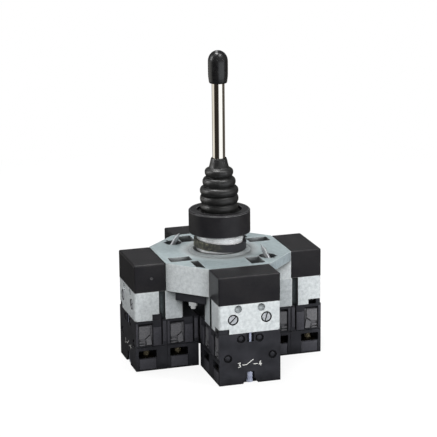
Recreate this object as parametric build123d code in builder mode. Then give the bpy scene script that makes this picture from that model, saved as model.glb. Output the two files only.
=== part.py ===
from build123d import *
import math
import os

os.makedirs("parts", exist_ok=True)

# Industrial joystick, millimetres, +Z up. The stick stands on the Z axis and the contact blocks stand on z = 0.
# Four arms lie along -Y, +X, +Y and -X. In an arm, u runs outward, v runs counter-clockwise seen from above.
ARMS = (("front", -90), ("right", 0), ("back", 90), ("left", 180))
# Which inner rocker drives each arm, and the side of it that the arm's plungers sit on
ROCKER_OF = {"front": "y", "right": "x", "back": "y", "left": "x"}

# Arms: half width, reach, and where the housing plate ends and the cap begins
arm_half = 14.6
arm_reach = 45.5
plate_reach = 30.5
block_top = 24.3
skirt_z = 38.0
plate_z = 51.2

# Housing casting
casting_wall = 2.5
casting_roof = 7.7
lip_t = 4.5
boss_r = 12.6
boss_foot_r = 17.0
boss_h = 0.9
pocket_depth = 5.0
pocket_u = (17.2, 27.6)
pocket_v = (6.8, 13.6)
corner_pocket_w = 3.7
corner_pocket_gap = 0.6
spot_r = 0.65
spot_depth = 0.35
spot_places = ((3.0, 1.6), (2.3, -1.9))

# Clamping screws in two of the corners, leaning towards the stick
well_r = 4.0
well_depth = 4.0
well_shift = 0.4
clamp_r = 1.25
clamp_lean = 31.0
clamp_tip_r = 21.6
clamp_tip_z = 56.5
clamp_len = 14.0
clamp_cone = 3.6
clamp_point = 0.12

# Threaded neck, ring nut and the rubber gasket that lies on the boss
neck_r = 11.0
neck_bore_r = 9.0
neck_top = 68.3
neck_chamfer = 0.5
nut_r = 14.5
nut_z = 60.3
nut_top = 71.0
nut_chamfer = 0.5
nut_lip = 1.5
nut_open_r = 10.7
gasket_r = 12.4
gasket_bore_r = 11.3
gasket_t = 3.5
gasket_z = 53.05
gasket_tilt = 4.0

# Metal bodies of the arms, below the caps
body_len = 23.3
body_wall = 3.0
body_slot_half = 6.0
groove_gap = 0.5
groove_w = 3.0
body_groove_depth = 1.5
step_h = 2.8
step_ccw_w = 4.6
step_in_groove = 1.2
step_ccw_depth = 2.6
step_cw_w = 6.3
step_cw_h = 2.4
step_cw_depth = 4.8
body_corner_r = 1.2

# Slotted screws in the outer face of each arm
screw_v = 7.9
screw_z = 31.0
screw_head_r = 2.1
screw_sink_r = 2.55
screw_sink = 1.0
screw_below = 0.15
screw_slot = 0.55
screw_slot_depth = 0.6
dimple_v = 5.5
dimple_z = 35.8
dimple_r = 1.8
dimple_depth = 0.8

# Plastic caps
cap_wall = 1.8
cap_edge_r = 0.7
cap_spot_r = 0.45
cap_spot_depth = 0.15
cap_spot_u = 37.3
cap_spot_z = 44.6

# Contact blocks, two in a row under each arm. p runs outward from a block's inner face
block_w = 15.1
block_gap = 0.1
block_floor = 3.0
block_roof = 1.5
block_wall = 3.4
chamber_end = 5.8
seam_z = 11.6
seam_w = 0.3
seam_depth = 0.3
post_p = (2.7, 6.7)
post_slot_w = 0.6
post_slot_depth = 0.8
panel_p = (6.9, 13.6)
panel_z = (12.1, 22.9)
panel_depth = 1.6
cover_back = 0.7
cover_front = 0.6
window_p = (5.2, 13.8)
window_z = (6.2, 9.9)
window_depth = 5.6
foot_p = (5.2, 13.6)
foot_z = (0.5, 5.9)
foot_depth = 0.4
riser_gap = 0.2
hook_p = (12.7, 14.7)
rivet_r = 1.95
rivet_depth = 0.9
rivet_spots = ((-4.2, 21.5), (4.6, 21.4), (-10.5, 12.7), (10.8, 12.7))
slit_w = 3.1
slit_z = 19.9
slit_v = 0.25
notch_w = 7.2
notch_h = 2.3
notch_top_w = 3.6
notch_rise = 5.6
notch_depth = 2.0
pin_w = 0.9
key_r = 1.6

# Terminals in the ends of the blocks
terminal_p = 9.4
terminal_in = 3.0
terminal_hole_r = 2.6
terminal_head_r = 2.4
terminal_head_z = 3.2
terminal_shank_r = 1.4
clamp_plate = (5.6, 5.0, 0.9)
strip_p = (5.4, 11.4)
strip_t = 1.0
strip_tip_v = 4.0
strip_end_gap = 0.1
contact_v = 5.4
contact_w = 2.0
contact_t = 0.4
contact_gap = 0.1

# Stick: rod, knob, hub, ball
rod_r = 3.0
rod_foot = 57.5
rod_seat = 7.2
knob_len = 15.5
knob_top = 146.3
knob_r = 4.65
knob_foot_r = 4.1
knob_toe = 0.4
knob_dome = 5.9
knob_side_r = 7.0
pivot_z = 54.0
hub_r = 5.2
hub_h = 5.0
socket_r = 4.4
socket_top = 62.0
stud_r = 2.0
ball_r = 4.5
ball_half = 2.4
ball_drop = 7.0
ball_gap = 0.15
tilt_deg = 12.0

# Gimbal ring and its pins
ring_r = 8.4
ring_bore_r = 6.2
ring_h = 4.0
gimbal_pin_r = 1.2
pin_clear = 0.05
neck_pin_end = 10.3
neck_pin_start = 6.5

# Two crossing rockers below the ball, each on its own pin
rocker_x_z = 33.5
rocker_y_z = 28.7
rocker_pin_r = 1.25
rocker_hub_r = 2.2
rocker_half = 3.0
rocker_t = 3.0
rocker_x_low = 33.0
rocker_y_low = 27.2
rocker_out_low = 30.2
rocker_bend = 4.5
rocker_bend_gap = 4.25
rocker_tip = 1.65
tab_t = 2.0
tab_half = 2.0
tab_top = 49.0
eye_half = 3.6
eye_r = 2.2
eye_top = 37.0
pad_r = 1.0
pad_half = 2.5
pad_gap = 0.2

# Carrier plate inside the casting that holds both rocker pins
carrier_t = 2.5
carrier_gap = 0.3
carrier_bore_r = 9.5
carrier_corner_z = 33.2
carrier_corner = 11.1
shield_screw_in = 3.9
shield_screw_r = 2.1
shield_screw_h = 1.9
shield_stud_r = 1.2
shield_stud_h = 3.6
ear_from = 10.0
ear_to = 13.0
ear_half = 3.5
ear_low = 31.5
leg_from = 4.2
leg_to = 6.5
bar_low = 26.4
bar_high = 31.0

# Plungers with their bridges and springs
plunger_w = 4.0
plunger_l = 5.0
plunger_clear = 0.08
plunger_foot = 10.0
bridge_z = 17.4
bridge_t = 0.8
bridge_w = 3.0
bridge_half = 6.6

# Rubber boot: (radius, z) of its folds' envelope outside and inside, bottom to top
boot_flange_r = 12.2
boot_flange_t = 1.2
boot_gap = 0.1
boot_outside = ((8.9, 71.5), (9.1, 80.2), (6.3, 89.0), (4.5, 91.5), (3.6, 95.6))
boot_inside = ((7.6, 74.1), (7.3, 78.1), (5.2, 87.5))

block_pitch = block_w + block_gap
outer_block_u = arm_reach - block_w
inner_block_u = outer_block_u - block_pitch
block_places = (("outer", outer_block_u), ("inner", inner_block_u))
roof_low = plate_z - casting_roof
corner_edge = (plate_reach + arm_half) / math.sqrt(2)
body_inner = arm_reach - body_len
body_groove = (plate_reach + groove_gap, plate_reach + groove_gap + groove_w)
step_ccw = (body_groove[1] - step_in_groove, body_groove[1] - step_in_groove + step_ccw_w)
step_cw_from = arm_reach - step_cw_w
terminal_v = arm_half - terminal_in
chamber_half = arm_half - chamber_end
knob_z = knob_top - knob_len
rod_top = knob_z + rod_seat
strip_z = window_z[1]
strip_end_v = arm_half - panel_depth - strip_end_gap
ball_z = pivot_z - ball_drop
pad_low = rocker_out_low - pad_r
plunger_top = pad_low - pad_gap
rocker_ratio = {"x": ball_drop / (ball_z - rocker_x_z), "y": ball_drop / (ball_z - rocker_y_z)}


def level(deg, z):
    # Horizontal plane of an arm: local x is u, local y is v
    a = math.radians(deg)
    return Plane(origin=(0, 0, z), x_dir=(math.cos(a), math.sin(a), 0), z_dir=(0, 0, 1))


def outer_face(deg, u):
    # Upright plane across an arm, facing outward: local x is v, local y is z
    a = math.radians(deg)
    out = Vector(math.cos(a), math.sin(a), 0)
    return Plane(origin=out * u, x_dir=(-math.sin(a), math.cos(a), 0), z_dir=out)


def end_face(deg, v):
    # Upright plane along an arm, facing clockwise: local x is u, local y is z
    a = math.radians(deg)
    across = Vector(-math.sin(a), math.cos(a), 0)
    return Plane(origin=across * v, x_dir=(math.cos(a), math.sin(a), 0), z_dir=across * -1)


def span(x, y):
    # Rectangle between two limits each way, in the sketch that is open
    with Locations(((x[0] + x[1]) / 2, (y[0] + y[1]) / 2)):
        Rectangle(x[1] - x[0], y[1] - y[0])


def plunger_u(u_in):
    return u_in + block_w / 2


def plunger_travel(arm, u_in):
    # Travel of a plunger when the stick stands at its limit
    return plunger_u(u_in) * math.sin(math.radians(tilt_deg) * rocker_ratio[ROCKER_OF[arm]])


# Plan of the housing plate: an octagon with long ends on the arms
plan = [(plate_reach, -arm_half), (plate_reach, arm_half), (arm_half, plate_reach), (-arm_half, plate_reach),
        (-plate_reach, arm_half), (-plate_reach, -arm_half), (-arm_half, -plate_reach), (arm_half, -plate_reach)]

# Plan below the lip: at the clamping screws' corners the wall turns in along the arms
skirt_plan = plan[:2] + plan[2:4] + [(-arm_half, arm_half)] + plan[4:6] + plan[6:8] + [(arm_half, -arm_half)]

clamp_places = (-45, 135)
clamp_planes = []
for corner in clamp_places:
    a = math.radians(corner)
    lean = math.radians(clamp_lean)
    out = Vector(math.cos(a), math.sin(a), 0)
    tip = out * clamp_tip_r + Vector(0, 0, clamp_tip_z)
    down = out * math.sin(lean) + Vector(0, 0, -math.cos(lean))
    clamp_planes.append(Plane(origin=tip, x_dir=(-math.sin(a), math.cos(a), 0), z_dir=down))

# Housing casting: plate with lip and skirt, raised boss, pockets and screw wells
with BuildPart() as base_casting:
    with BuildSketch(Plane.XY.offset(plate_z)):
        Polygon(*plan, align=None)
    extrude(amount=-lip_t)
    with BuildSketch(Plane.XY.offset(skirt_z)):
        Polygon(*skirt_plan, align=None)
    extrude(amount=plate_z - lip_t - skirt_z)
    with BuildSketch(Plane.XY.offset(skirt_z)):
        with BuildLine():
            Polyline(*skirt_plan, close=True)
            offset(amount=-casting_wall, kind=Kind.INTERSECTION, mode=Mode.REPLACE)
        make_face()
    extrude(amount=roof_low - skirt_z, mode=Mode.SUBTRACT)
    with BuildSketch(Plane.XZ):
        with BuildLine():
            foot = Line((0, plate_z), (boss_foot_r, plate_z))
            flare = ThreePointArc((boss_foot_r, plate_z), (boss_r + 0.8, plate_z + boss_h * 0.45),
                                  (boss_r, plate_z + boss_h))
            rim = Line(flare @ 1, (0, plate_z + boss_h))
            Line(rim @ 1, foot @ 0)
        make_face()
    revolve(axis=Axis.Z)
    with BuildSketch(Plane.XY.offset(roof_low)):
        Circle(neck_r)
    extrude(amount=casting_roof + boss_h, mode=Mode.SUBTRACT)
    for name, deg in ARMS:
        with BuildSketch(level(deg, plate_z)):
            span(pocket_u, pocket_v)
        extrude(amount=-pocket_depth, mode=Mode.SUBTRACT)
    near = arm_half + corner_pocket_gap
    far = plate_reach - casting_wall
    for deg in (45, 225):
        with BuildSketch(level(deg - 45, plate_z)):
            Polygon((near, near), (near + corner_pocket_w, near),
                    (near + corner_pocket_w, far - corner_pocket_w), (near, far), align=None)
        extrude(amount=-pocket_depth, mode=Mode.SUBTRACT)
    for corner in clamp_places:
        with BuildSketch(level(corner, plate_z)):
            with Locations((clamp_tip_r + (clamp_tip_z - plate_z) * math.tan(math.radians(clamp_lean)) + well_shift, 0)):
                Circle(well_r)
        extrude(amount=-well_depth, mode=Mode.SUBTRACT)
        with BuildSketch(level(corner, plate_z)):
            with Locations(*[(corner_edge - back, side) for back, side in spot_places]):
                Circle(spot_r)
        extrude(amount=-spot_depth, mode=Mode.SUBTRACT)
    for plane in clamp_planes:
        with BuildSketch(plane):
            Circle(clamp_r)
        extrude(amount=clamp_len, mode=Mode.SUBTRACT)
base_casting.part.label = "base_casting"
export_step(base_casting.part, "parts/base_casting.step")

# Pointed clamping screws
with BuildPart() as clamp_screws:
    for plane in clamp_planes:
        with BuildSketch(plane):
            Circle(clamp_point)
        with BuildSketch(plane.offset(clamp_cone)):
            Circle(clamp_r)
        loft()
        with BuildSketch(plane.offset(clamp_cone)):
            Circle(clamp_r)
        extrude(amount=clamp_len - clamp_cone)
clamp_screws.part.label = "clamp_screws"
export_step(clamp_screws.part, "parts/clamp_screws.step")

# Threaded neck with blind seats for the gimbal's pins
with BuildPart() as mounting_neck:
    with BuildSketch(Plane.XY.offset(roof_low)):
        Circle(neck_r)
        Circle(neck_bore_r, mode=Mode.SUBTRACT)
    extrude(amount=neck_top - roof_low)
    chamfer(mounting_neck.edges().filter_by(GeomType.CIRCLE).group_by(Axis.Z)[-1].sort_by(SortBy.RADIUS)[-1],
            neck_chamfer)
    for deg in (0, 180):
        with BuildSketch(outer_face(deg, neck_bore_r - 0.6)):
            with Locations((0, pivot_z)):
                Circle(gimbal_pin_r)
        extrude(amount=neck_pin_end - neck_bore_r + 0.6, mode=Mode.SUBTRACT)
mounting_neck.part.label = "mounting_neck"
export_step(mounting_neck.part, "parts/mounting_neck.step")

# Ring nut with a lip that holds the boot's flange
with BuildPart() as ring_nut:
    with BuildSketch(Plane.XZ):
        with BuildLine():
            Polyline((neck_r, nut_z), (nut_r, nut_z), (nut_r, nut_top - nut_chamfer),
                     (nut_r - nut_chamfer, nut_top), (nut_open_r, nut_top), (nut_open_r, nut_top - nut_lip),
                     (boot_flange_r, nut_top - nut_lip), (boot_flange_r, neck_top), (neck_r, neck_top), close=True)
        make_face()
    revolve(axis=Axis.Z)
ring_nut.part.label = "ring_nut"
export_step(ring_nut.part, "parts/ring_nut.step")

# Gasket, tipped so that its right side rests on the boss
gasket_fall = Vector(0.956, -0.292, 0)
lean = math.radians(gasket_tilt)
gasket_up = gasket_fall * math.sin(lean) + Vector(0, 0, math.cos(lean))
with BuildPart() as neck_gasket:
    with BuildSketch(Plane(origin=(0, 0, gasket_z), z_dir=gasket_up)):
        Circle(gasket_r)
        Circle(gasket_bore_r, mode=Mode.SUBTRACT)
    extrude(amount=gasket_t)
neck_gasket.part.label = "neck_gasket"
export_step(neck_gasket.part, "parts/neck_gasket.step")


def make_arm_body(deg):
    # Cast arm body: a U-shaped channel for the rocker, stepped feet over the blocks
    with BuildPart() as arm_body:
        with BuildSketch(level(deg, block_top)):
            span((body_inner, arm_reach), (-arm_half, arm_half))
        extrude(amount=skirt_z - block_top)
        uprights = arm_body.edges().filter_by(Axis.Z)
        fillet(uprights, body_corner_r)
        with BuildSketch(level(deg, block_top)):
            span((body_inner - 1, arm_reach - body_wall), (-body_slot_half, body_slot_half))
        extrude(amount=skirt_z - block_top, mode=Mode.SUBTRACT)
        for s in (1, -1):
            with BuildSketch(end_face(deg, s * arm_half)):
                span(body_groove, (block_top, skirt_z))
            extrude(amount=s * body_groove_depth, mode=Mode.SUBTRACT)
        with BuildSketch(end_face(deg, arm_half)):
            span(step_ccw, (block_top, block_top + step_h))
        extrude(amount=step_ccw_depth, mode=Mode.SUBTRACT)
        with BuildSketch(end_face(deg, -arm_half)):
            span((step_cw_from, arm_reach), (block_top, block_top + step_cw_h))
        extrude(amount=-step_cw_depth, mode=Mode.SUBTRACT)
        with BuildSketch(outer_face(deg, arm_reach)):
            with Locations((-screw_v, screw_z), (screw_v, screw_z)):
                Circle(screw_sink_r)
        extrude(amount=-screw_sink, mode=Mode.SUBTRACT)
        ball = (dimple_r ** 2 + dimple_depth ** 2) / (2 * dimple_depth)
        face = outer_face(deg, arm_reach - dimple_depth + ball)
        for v in (-dimple_v, dimple_v):
            spot = face.from_local_coords(Vector(v, dimple_z, 0))
            with Locations(Plane(origin=spot, x_dir=face.x_dir, z_dir=face.z_dir)):
                Sphere(ball, mode=Mode.SUBTRACT)
    return arm_body.part


def make_cap(deg):
    # Hollow cap over the end of an arm
    with BuildPart() as cap:
        with BuildSketch(level(deg, skirt_z)):
            span((plate_reach, arm_reach), (-arm_half, arm_half))
        extrude(amount=plate_z - skirt_z)
        fillet(cap.edges().filter_by(Axis.Z) + cap.faces().sort_by(Axis.Z)[-1].edges(), cap_edge_r)
        with BuildSketch(level(deg, skirt_z)):
            span((plate_reach + cap_wall, arm_reach - cap_wall), (-arm_half + cap_wall, arm_half - cap_wall))
        extrude(amount=plate_z - skirt_z - cap_wall, mode=Mode.SUBTRACT)
        with BuildSketch(end_face(deg, arm_half)):
            with Locations((cap_spot_u, cap_spot_z)):
                Circle(cap_spot_r)
        extrude(amount=cap_spot_depth, mode=Mode.SUBTRACT)
    return cap.part


def make_block(deg, place, u_in):
    # Contact block: housing with a chamber for the bridge, two terminals and their windows
    u = lambda limits: (u_in + limits[0], u_in + limits[1])
    with BuildPart() as block:
        with BuildSketch(level(deg, 0)):
            span((u_in, u_in + block_w), (-arm_half, arm_half))
        extrude(amount=block_top)
        if place == "outer":
            with BuildSketch(level(deg, block_top)):
                span((step_ccw[0] + riser_gap, step_ccw[1] - riser_gap),
                     (arm_half - step_ccw_depth + riser_gap, arm_half - riser_gap))
            extrude(amount=step_h - riser_gap)
            with BuildSketch(level(deg, block_top)):
                span(u(hook_p), (-arm_half + riser_gap, -arm_half + step_cw_depth - riser_gap))
            extrude(amount=step_cw_h - riser_gap)
        with BuildSketch(level(deg, block_floor)):
            span((u_in + block_wall, u_in + block_w - block_wall), (-chamber_half, chamber_half))
        extrude(amount=block_top - block_roof - block_floor, mode=Mode.SUBTRACT)
        with BuildSketch(level(deg, block_top)):
            with Locations((plunger_u(u_in), 0)):
                Rectangle(plunger_w + 2 * plunger_clear, plunger_l + 2 * plunger_clear)
        extrude(amount=-block_roof, mode=Mode.SUBTRACT)
        for s in (1, -1):
            with BuildSketch(end_face(deg, s * arm_half)):
                span(u(panel_p), panel_z)
            extrude(amount=s * panel_depth, mode=Mode.SUBTRACT)
            with BuildSketch(end_face(deg, s * arm_half)):
                span((u_in + post_p[0] - post_slot_w, u_in + post_p[0]), (panel_z[0], block_top))
            extrude(amount=s * post_slot_depth, mode=Mode.SUBTRACT)
            with BuildSketch(end_face(deg, s * arm_half)):
                span((u_in, u_in + block_w), (seam_z - seam_w / 2, seam_z + seam_w / 2))
            extrude(amount=s * seam_depth, mode=Mode.SUBTRACT)
            with BuildSketch(end_face(deg, s * arm_half)):
                span(u(window_p), window_z)
            extrude(amount=s * window_depth, mode=Mode.SUBTRACT)
            with BuildSketch(end_face(deg, s * arm_half)):
                span(u(foot_p), foot_z)
            extrude(amount=s * foot_depth, mode=Mode.SUBTRACT)
            with BuildSketch(level(deg, 0)):
                with Locations((u_in + terminal_p, s * terminal_v)):
                    Circle(terminal_hole_r)
            extrude(amount=window_z[0], mode=Mode.SUBTRACT)
            with BuildSketch(level(deg, strip_z)):
                span(u(strip_p), sorted((s * strip_end_v, s * strip_tip_v)))
            extrude(amount=strip_t, mode=Mode.SUBTRACT)
        if place == "outer":
            with BuildSketch(outer_face(deg, arm_reach)):
                with Locations(*rivet_spots):
                    Circle(rivet_r)
                span((slit_v - slit_w / 2, slit_v + slit_w / 2), (slit_z, block_top))
            extrude(amount=-rivet_depth, mode=Mode.SUBTRACT)
            with BuildSketch(outer_face(deg, arm_reach)):
                with BuildLine():
                    Polyline((slit_v - notch_w / 2, 0), (slit_v - notch_w / 2 + notch_h * 0.6, notch_h),
                             (slit_v - notch_top_w / 2, notch_h), (slit_v - notch_top_w / 2, notch_rise),
                             (slit_v + notch_top_w / 2, notch_rise), (slit_v + notch_top_w / 2, notch_h),
                             (slit_v + notch_w / 2 - notch_h * 0.6, notch_h), (slit_v + notch_w / 2, 0), close=True)
                make_face()
            extrude(amount=-notch_depth, mode=Mode.SUBTRACT)
    return block.part


with BuildPart() as arm_bodies:
    for name, deg in ARMS:
        add(make_arm_body(deg))
arm_bodies.part.label = "arm_bodies"
export_step(arm_bodies.part, "parts/arm_bodies.step")

with BuildPart() as caps:
    for name, deg in ARMS:
        add(make_cap(deg))
caps.part.label = "caps"
export_step(caps.part, "parts/caps.step")

with BuildPart() as outer_blocks:
    for name, deg in ARMS:
        add(make_block(deg, "outer", outer_block_u))
outer_blocks.part.label = "outer_blocks"
export_step(outer_blocks.part, "parts/outer_blocks.step")

with BuildPart() as inner_blocks:
    for name, deg in ARMS:
        add(make_block(deg, "inner", inner_block_u))
inner_blocks.part.label = "inner_blocks"
export_step(inner_blocks.part, "parts/inner_blocks.step")

# Slotted screws of the arm bodies, each slot left at its own angle
slot_angles = (45, 75, 20, 110, 65, 150, 95, 35)
with BuildPart() as arm_screws:
    for i, (name, deg) in enumerate(ARMS):
        for j, v in enumerate((-screw_v, screw_v)):
            with BuildSketch(outer_face(deg, arm_reach - screw_sink)):
                with Locations((v, screw_z)):
                    Circle(screw_head_r)
            extrude(amount=screw_sink - screw_below)
            with BuildSketch(outer_face(deg, arm_reach - screw_below)):
                with Locations(Location((v, screw_z), slot_angles[2 * i + j])):
                    Rectangle(2 * screw_head_r + 1, screw_slot)
            extrude(amount=-screw_slot_depth, mode=Mode.SUBTRACT)
arm_screws.part.label = "arm_screws"
export_step(arm_screws.part, "parts/arm_screws.step")

# Terminal covers: a panel with the cover, its latch and two short bars raised from it
cover_shape = ((13.35, 21.6), (8.1, 21.6), (8.1, 17.8), (10.4, 15.8), (13.35, 15.6))
latch_shape = ((10.2, 15.3), (8.0, 17.1), (7.2, 12.5), (9.6, 12.4))
bar_p = (10.6, 13.35)
bar_rows = ((13.6, 14.4), (12.3, 12.9))
with BuildPart() as block_covers:
    for name, deg in ARMS:
        for place, u_in in block_places:
            for s in (1, -1):
                with BuildSketch(end_face(deg, s * (arm_half - panel_depth))):
                    span((u_in + panel_p[0], u_in + panel_p[1]), (panel_z[0], cover_shape[0][1] + 0.2))
                extrude(amount=-s * cover_back)
                with BuildSketch(end_face(deg, s * (arm_half - panel_depth + cover_back))):
                    Polygon(*[(u_in + p, z) for p, z in cover_shape], align=None)
                    Polygon(*[(u_in + p, z) for p, z in latch_shape], align=None)
                    for row in bar_rows:
                        span((u_in + bar_p[0], u_in + bar_p[1]), row)
                extrude(amount=-s * cover_front)
block_covers.part.label = "block_covers"
export_step(block_covers.part, "parts/block_covers.step")

# Light pin in the slit and half-round key in the notch of each outer block
with BuildPart() as face_keys:
    for name, deg in ARMS:
        with BuildSketch(outer_face(deg, arm_reach - rivet_depth)):
            span((slit_v - pin_w / 2, slit_v + pin_w / 2), (slit_z, block_top))
        extrude(amount=rivet_depth - 0.3)
        with BuildSketch(level(deg, 0.3)):
            with BuildLine():
                seat = arm_reach - notch_depth
                ThreePointArc((seat, slit_v - key_r), (seat + key_r, slit_v), (seat, slit_v + key_r))
                Line((seat, slit_v + key_r), (seat, slit_v - key_r))
            make_face()
        extrude(amount=notch_rise - 0.4)
face_keys.part.label = "face_keys"
export_step(face_keys.part, "parts/face_keys.step")

# Terminal screws with their captive clamping plates, reached through the blocks' floors
with BuildPart() as terminal_screws:
    for name, deg in ARMS:
        for place, u_in in block_places:
            for s in (1, -1):
                with BuildSketch(level(deg, terminal_head_z)):
                    with Locations((u_in + terminal_p, s * terminal_v)):
                        Circle(terminal_head_r)
                extrude(amount=window_z[0] - terminal_head_z)
                with BuildSketch(level(deg, window_z[0])):
                    with Locations((u_in + terminal_p, s * terminal_v)):
                        Rectangle(clamp_plate[0], clamp_plate[1])
                extrude(amount=clamp_plate[2])
                with BuildSketch(level(deg, window_z[0] + clamp_plate[2])):
                    with Locations((u_in + terminal_p, s * terminal_v)):
                        Circle(terminal_shank_r)
                extrude(amount=strip_z - window_z[0] - clamp_plate[2])
terminal_screws.part.label = "terminal_screws"
export_step(terminal_screws.part, "parts/terminal_screws.step")

# Fixed contacts: a strip from each terminal into the chamber with a raised contact
with BuildPart() as fixed_contacts:
    for name, deg in ARMS:
        for place, u_in in block_places:
            contact_top = bridge_z - contact_t - plunger_travel(name, u_in) - contact_gap
            for s in (1, -1):
                with BuildSketch(level(deg, strip_z)):
                    span((u_in + strip_p[0], u_in + strip_p[1]), sorted((s * strip_end_v, s * strip_tip_v)))
                extrude(amount=strip_t)
                with BuildSketch(level(deg, strip_z + strip_t)):
                    with Locations((plunger_u(u_in), s * contact_v)):
                        Rectangle(contact_w, contact_w)
                extrude(amount=contact_top - strip_z - strip_t)
fixed_contacts.part.label = "fixed_contacts"
export_step(fixed_contacts.part, "parts/fixed_contacts.step")

# Plungers with their contact bridges
for name, deg in ARMS:
    for place, u_in in block_places:
        with BuildPart() as plunger:
            with BuildSketch(level(deg, plunger_foot)):
                with Locations((plunger_u(u_in), 0)):
                    Rectangle(plunger_w, plunger_l)
            extrude(amount=plunger_top - plunger_foot)
            with BuildSketch(outer_face(deg, plunger_u(u_in))):
                with Locations((0, bridge_z + bridge_t / 2)):
                    Rectangle(plunger_l + 1, bridge_t)
            extrude(amount=bridge_w / 2, both=True, mode=Mode.SUBTRACT)
        plunger.part.label = f"plunger_{name}_{place}"
        export_step(plunger.part, f"parts/plunger_{name}_{place}.step")
        with BuildPart() as bridge:
            with BuildSketch(level(deg, bridge_z)):
                with Locations((plunger_u(u_in), 0)):
                    Rectangle(bridge_w, 2 * bridge_half)
            extrude(amount=bridge_t)
            with BuildSketch(level(deg, bridge_z)):
                with Locations((plunger_u(u_in), contact_v), (plunger_u(u_in), -contact_v)):
                    Rectangle(contact_w, contact_w)
            extrude(amount=-contact_t)
        bridge.part.label = f"bridge_{name}_{place}"
        export_step(bridge.part, f"parts/bridge_{name}_{place}.step")

# Carrier plate under the casting's roof, with corner shields, ears and portals for the rocker pins
with BuildPart() as carrier_plate:
    with BuildSketch(Plane.XY.offset(roof_low - carrier_t)):
        with BuildLine():
            Polyline(*skirt_plan, close=True)
            offset(amount=-casting_wall - carrier_gap, kind=Kind.INTERSECTION, mode=Mode.REPLACE)
        make_face()
        Circle(carrier_bore_r, mode=Mode.SUBTRACT)
    extrude(amount=carrier_t)
    shield = arm_half + carrier_gap
    for deg in (0, 180):
        with BuildSketch(level(deg, carrier_corner_z)):
            Polygon((shield, shield), (shield + carrier_corner, shield), (shield, shield + carrier_corner), align=None)
        extrude(amount=roof_low - carrier_t - carrier_corner_z)
    for s in (1, -1):
        with BuildSketch(end_face(0, s * ear_to)):
            span((-ear_half, ear_half), (ear_low, roof_low - carrier_t))
        extrude(amount=s * (ear_to - ear_from))
        with BuildSketch(outer_face(0, s * ear_to)):
            span((-leg_to, leg_to), (bar_low, roof_low - carrier_t))
            with Locations((0, (bar_high + roof_low - carrier_t) / 2)):
                Rectangle(2 * leg_from, roof_low - carrier_t - bar_high, mode=Mode.SUBTRACT)
        extrude(amount=-s * (ear_to - ear_from))
    with BuildSketch(Plane.XZ):
        with Locations((0, rocker_x_z)):
            Circle(rocker_pin_r)
    extrude(amount=ear_to, both=True, mode=Mode.SUBTRACT)
    with BuildSketch(Plane.YZ):
        with Locations((0, rocker_y_z)):
            Circle(rocker_pin_r)
    extrude(amount=ear_to, both=True, mode=Mode.SUBTRACT)
carrier_plate.part.label = "carrier_plate"
export_step(carrier_plate.part, "parts/carrier_plate.step")

# Screws under the carrier's corner shields
with BuildPart() as shield_screws:
    for deg in (0, 180):
        for r, h in ((shield_screw_r, shield_screw_h), (shield_stud_r, shield_stud_h)):
            with BuildSketch(level(deg, carrier_corner_z)):
                with Locations((shield + shield_screw_in, shield + shield_screw_in)):
                    Circle(r)
            extrude(amount=-h)
shield_screws.part.label = "shield_screws"
export_step(shield_screws.part, "parts/shield_screws.step")

# Pins of the two rockers
with BuildPart() as rocker_pins:
    with BuildSketch(Plane.XZ):
        with Locations((0, rocker_x_z)):
            Circle(rocker_pin_r)
    extrude(amount=ear_to, both=True)
    with BuildSketch(Plane.YZ):
        with Locations((0, rocker_y_z)):
            Circle(rocker_pin_r)
    extrude(amount=ear_to, both=True)
rocker_pins.part.label = "rocker_pins"
export_step(rocker_pins.part, "parts/rocker_pins.step")


def rocker_profile(low):
    # Side view of a rocker's beam: low at the middle, bent to the height of the plungers
    far = plunger_u(inner_block_u) - rocker_bend_gap
    near = far - rocker_bend
    rocker_end = plunger_u(outer_block_u) + rocker_tip
    return [(-rocker_end, rocker_out_low), (-far, rocker_out_low), (-near, low), (near, low),
            (far, rocker_out_low), (rocker_end, rocker_out_low), (rocker_end, rocker_out_low + rocker_t),
            (far, rocker_out_low + rocker_t), (near, low + rocker_t), (-near, low + rocker_t),
            (-far, rocker_out_low + rocker_t), (-rocker_end, rocker_out_low + rocker_t)]


def make_rocker(plane, pin_z, low, eye_z):
    # Rocker: bent beam with hub, pads over the plungers, and two tabs beside the ball
    inner = ball_r + ball_gap
    tab_foot = max(low, pin_z - rocker_hub_r)
    with BuildPart() as rocker:
        with BuildSketch(plane):
            Polygon(*rocker_profile(low), align=None)
            with Locations((0, pin_z)):
                Circle(rocker_hub_r)
        extrude(amount=rocker_half, both=True)
        with BuildSketch(plane):
            for s in (1, -1):
                for place, u_in in block_places:
                    with Locations((s * plunger_u(u_in), pad_low + pad_r)):
                        Circle(pad_r)
        extrude(amount=pad_half, both=True)
        with BuildSketch(plane):
            for s in (1, -1):
                span(sorted((s * inner, s * (inner + tab_t))), (low, tab_top))
        extrude(amount=tab_half, both=True)
        if eye_z:
            with BuildSketch(plane):
                for s in (1, -1):
                    span(sorted((s * inner, s * (inner + tab_t))), (low, eye_top))
            extrude(amount=eye_half, both=True)
            with BuildSketch(Plane(origin=(0, 0, eye_z), x_dir=plane.z_dir, z_dir=plane.x_dir)):
                Circle(eye_r)
            extrude(amount=inner + tab_t + 1, both=True, mode=Mode.SUBTRACT)
        with BuildSketch(plane):
            with Locations((0, pin_z)):
                Circle(rocker_pin_r + pin_clear)
        extrude(amount=rocker_half, both=True, mode=Mode.SUBTRACT)
    return rocker.part


rocker_x = make_rocker(end_face(0, 0), rocker_x_z, rocker_x_low, None)
rocker_x.label = "rocker_x"
export_step(rocker_x, "parts/rocker_x.step")
rocker_y = make_rocker(end_face(90, 0), rocker_y_z, rocker_y_low, rocker_x_z)
rocker_y.label = "rocker_y"
export_step(rocker_y, "parts/rocker_y.step")

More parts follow.
